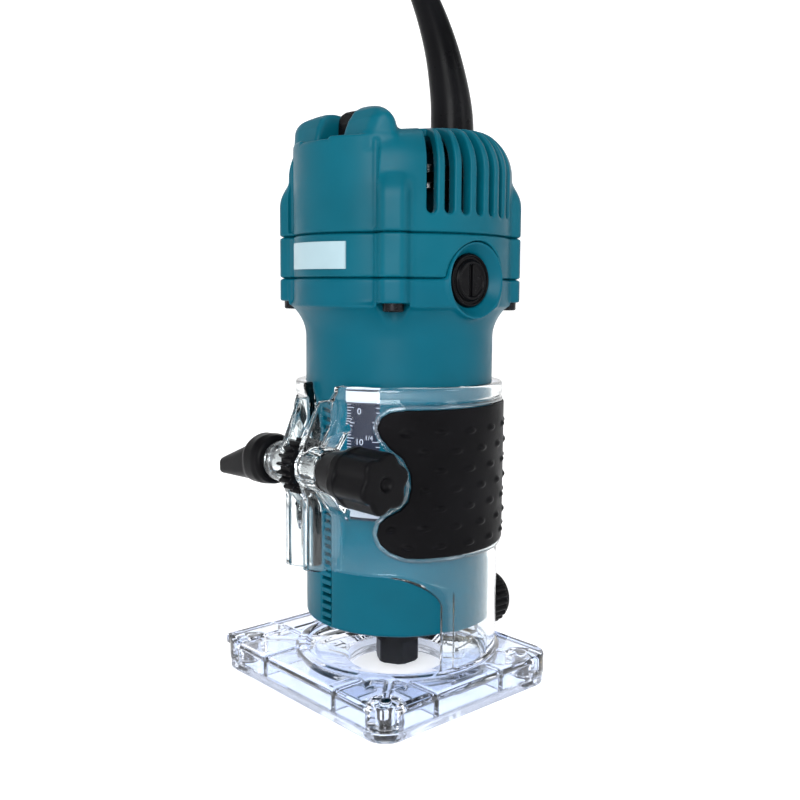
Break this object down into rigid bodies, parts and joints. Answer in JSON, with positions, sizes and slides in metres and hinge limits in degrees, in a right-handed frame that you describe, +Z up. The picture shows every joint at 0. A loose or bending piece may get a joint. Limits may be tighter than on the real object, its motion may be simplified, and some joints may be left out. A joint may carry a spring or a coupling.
{
  "type": "trim router",
  "caption": "Compact laminate trimmer with a slim motor that slides in a clear split base, a rack-and-pinion height screw, a lever nut, a rocker switch and a mains lead.",
  "frame": {"origin": "centre of the footprint, on the spindle axis, at the underside of the sub-base", "axes": "+Z up along the spindle; -Y towards the height clamp, +Y towards the guide clamp, +X towards the height knob"},
  "size_m": [0.1683, 0.1948, 0.2861],
  "materials": {
    "base_clear": "clear moulded polycarbonate, polished",
    "sub_base_clear": "clear polycarbonate, fine scratches",
    "teal_plastic": "satin moulded plastic",
    "tube_teal": "smooth satin",
    "black_plastic": "fine moulded texture",
    "rubber_grip": "soft rubber with raised bumps",
    "switch_black": "satin",
    "cord_rubber": "smooth rubber sheath",
    "label_dark": "printed film",
    "badge_pale": "satin, blank",
    "steel": "machined",
    "screw_dark": "black oxide",
    "collet_black": "black oxide",
    "brass": "turned",
    "copper": "enamelled wire and bars",
    "lamination": "stacked sheet steel",
    "fan_plastic": "glass-filled nylon",
    "felt": "pressed felt",
    "carbon": "carbon",
    "tie_black": "woven hook-and-loop strap"
  },
  "bodies": {
    "base": {"trimmer_base": "base_clear", "sub_base": "sub_base_clear", "base_screws": "steel", "rubber_grip": "rubber_grip", "clamp_washer": "steel", "guide_clamp_insert": "brass", "cord_lead": "cord_rubber", "cord_coil": "cord_rubber", "cord_tie": "tie_black", "cord_tail": "cord_rubber", "plug_body": "cord_rubber", "plug_pins": "brass"},
    "motor": {"motor_housing": "tube_teal", "middle_ring": "teal_plastic", "top_cover": "teal_plastic", "housing_screws": "screw_dark", "blank_badge": "badge_pale", "scale_label": "label_dark", "stator_core": "lamination", "field_coils": "copper", "baffle_plate": "fan_plastic", "lower_bearing_outer_ring": "steel", "lower_bearing_balls": "steel", "upper_bearing_outer_ring": "steel", "upper_bearing_balls": "steel", "dust_seal": "felt", "brush_holder_right": "brass", "brush_holder_left": "brass", "carbon_brush_right": "carbon", "carbon_brush_left": "carbon", "brush_spring_right": "steel", "brush_spring_left": "steel", "switch_body": "black_plastic", "cord_guard": "cord_rubber", "cord_clamp": "black_plastic", "cord_clamp_screws": "steel", "cord_entry": "cord_rubber"},
    "height_screw": {"height_pinion": "black_plastic", "adjusting_screw": "steel", "adjusting_knob": "black_plastic"},
    "lever": {"lever_nut": "black_plastic", "lever_nut_insert": "brass"},
    "guide_screw": {"guide_clamp_stud": "steel", "guide_clamp_washer": "steel", "guide_clamp_knob": "black_plastic"},
    "rotor": {"armature_core": "lamination", "armature_windings": "copper", "commutator": "copper", "spindle": "steel", "cooling_fan": "fan_plastic", "lower_bearing_inner_ring": "steel", "upper_bearing_inner_ring": "steel", "collet_cone": "steel"},
    "collet_nut": {"collet_nut": "collet_black"},
    "rocker": {"switch_rocker": "switch_black"},
    "cap_right": {"brush_cap_right": "switch_black"},
    "cap_left": {"brush_cap_left": "switch_black"}
  },
  "joints": [
    {"name": "motor_lift", "type": "slide", "parent": "base", "child": "motor", "axis": [0, 0, 1], "range_m": [-0.004, 0.03], "deforming": ["cord_lead"]},
    {"name": "height_screw_turn", "type": "hinge", "parent": "base", "child": "height_screw", "pos_m": [0, -0.0415, 0.0795], "axis": [1, 0, 0], "range_deg": [-30, 205]},
    {"name": "lever_turn", "type": "hinge", "parent": "base", "child": "lever", "pos_m": [-0.018, -0.0415, 0.0795], "axis": [-1, 0, 0], "range_deg": [0, 100]},
    {"name": "guide_knob_turn", "type": "hinge", "parent": "base", "child": "guide_screw", "pos_m": [0, 0.045, 0.017], "axis": [0, 1, 0], "range_deg": [0, 720]},
    {"name": "spindle_spin", "type": "hinge", "parent": "motor", "child": "rotor", "pos_m": [0, 0, 0.08], "axis": [0, 0, 1], "continuous": true},
    {"name": "collet_nut_turn", "type": "hinge", "parent": "rotor", "child": "collet_nut", "pos_m": [0, 0, 0.012], "axis": [0, 0, 1], "range_deg": [0, 540]},
    {"name": "switch_rock", "type": "hinge", "parent": "motor", "child": "rocker", "pos_m": [0, -0.018, 0.186], "axis": [1, 0, 0], "range_deg": [0, 20]},
    {"name": "brush_cap_right_turn", "type": "hinge", "parent": "motor", "child": "cap_right", "pos_m": [0.034, 0, 0.14], "axis": [1, 0, 0], "range_deg": [0, 720]},
    {"name": "brush_cap_left_turn", "type": "hinge", "parent": "motor", "child": "cap_left", "pos_m": [-0.034, 0, 0.14], "axis": [-1, 0, 0], "range_deg": [0, 720]}
  ],
  "couplings": [
    {"joint": "height_screw_turn", "follows": "motor_lift", "rad_per_m": 116.96}
  ]
}
